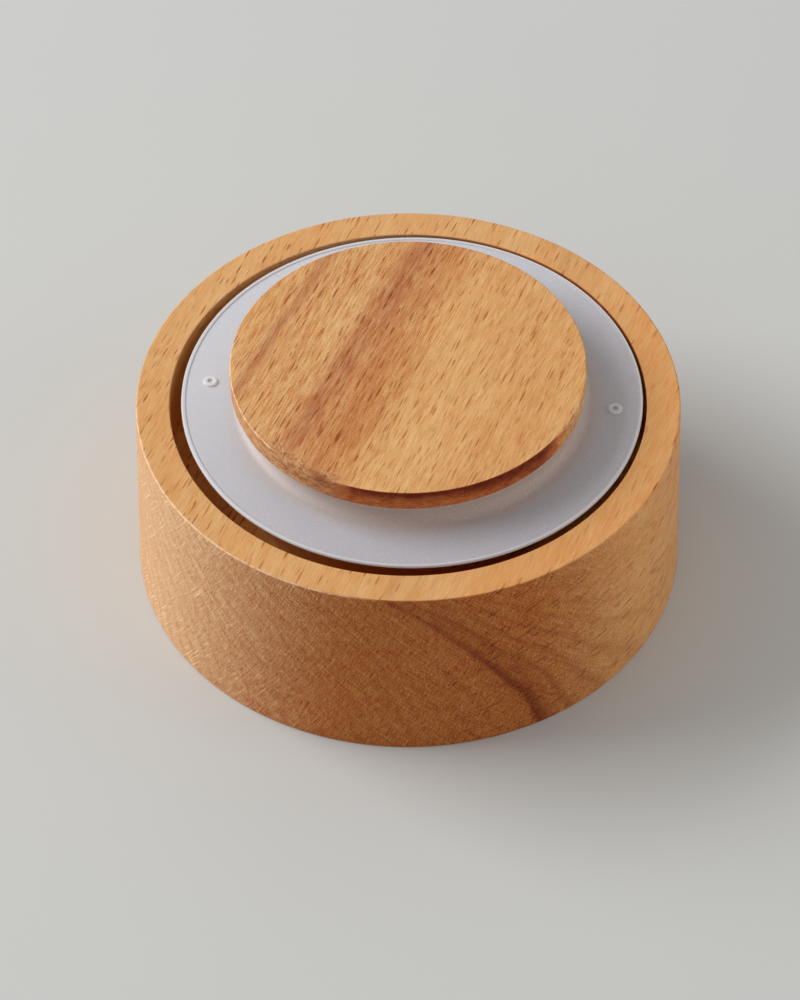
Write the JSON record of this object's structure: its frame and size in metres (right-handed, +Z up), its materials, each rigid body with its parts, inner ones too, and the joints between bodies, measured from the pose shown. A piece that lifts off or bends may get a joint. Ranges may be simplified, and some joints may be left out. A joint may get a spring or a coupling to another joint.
{
  "type": "jar lid",
  "caption": "Turned wooden jar lid, lying seal side up: a cap with a groove for the jar's neck, a flanged plastic seal and a wooden disc that holds it.",
  "frame": {"origin": "middle of the flat resting face, which is the lid's outer face", "axes": "+Z up, from the resting face to the seal; +X to the right and +Y away, as seen in the picture"},
  "size_m": [0.0826, 0.0826, 0.0384],
  "materials": {
    "beech_cap": "oiled, fine sanded",
    "beech_disc": "oiled, fine sanded",
    "beech_peg": "raw",
    "frosted_plastic": "translucent, frosted"
  },
  "bodies": {
    "cap": {"cap_body": "beech_cap"},
    "seal_ring": {"seal": "frosted_plastic"},
    "disc": {"clamp_disc": "beech_disc", "centre_peg": "beech_peg"}
  },
  "joints": [
    {"name": "disc_lift", "type": "slide", "parent": "cap", "child": "disc", "axis": [0, 0, 1], "range_m": [0, 0.014]},
    {"name": "seal_lift", "type": "slide", "parent": "cap", "child": "seal_ring", "axis": [0, 0, 1], "range_m": [0, 0.007]}
  ],
  "couplings": [
    {"joint": "seal_lift", "follows": "disc_lift", "ratio": 0.5}
  ]
}
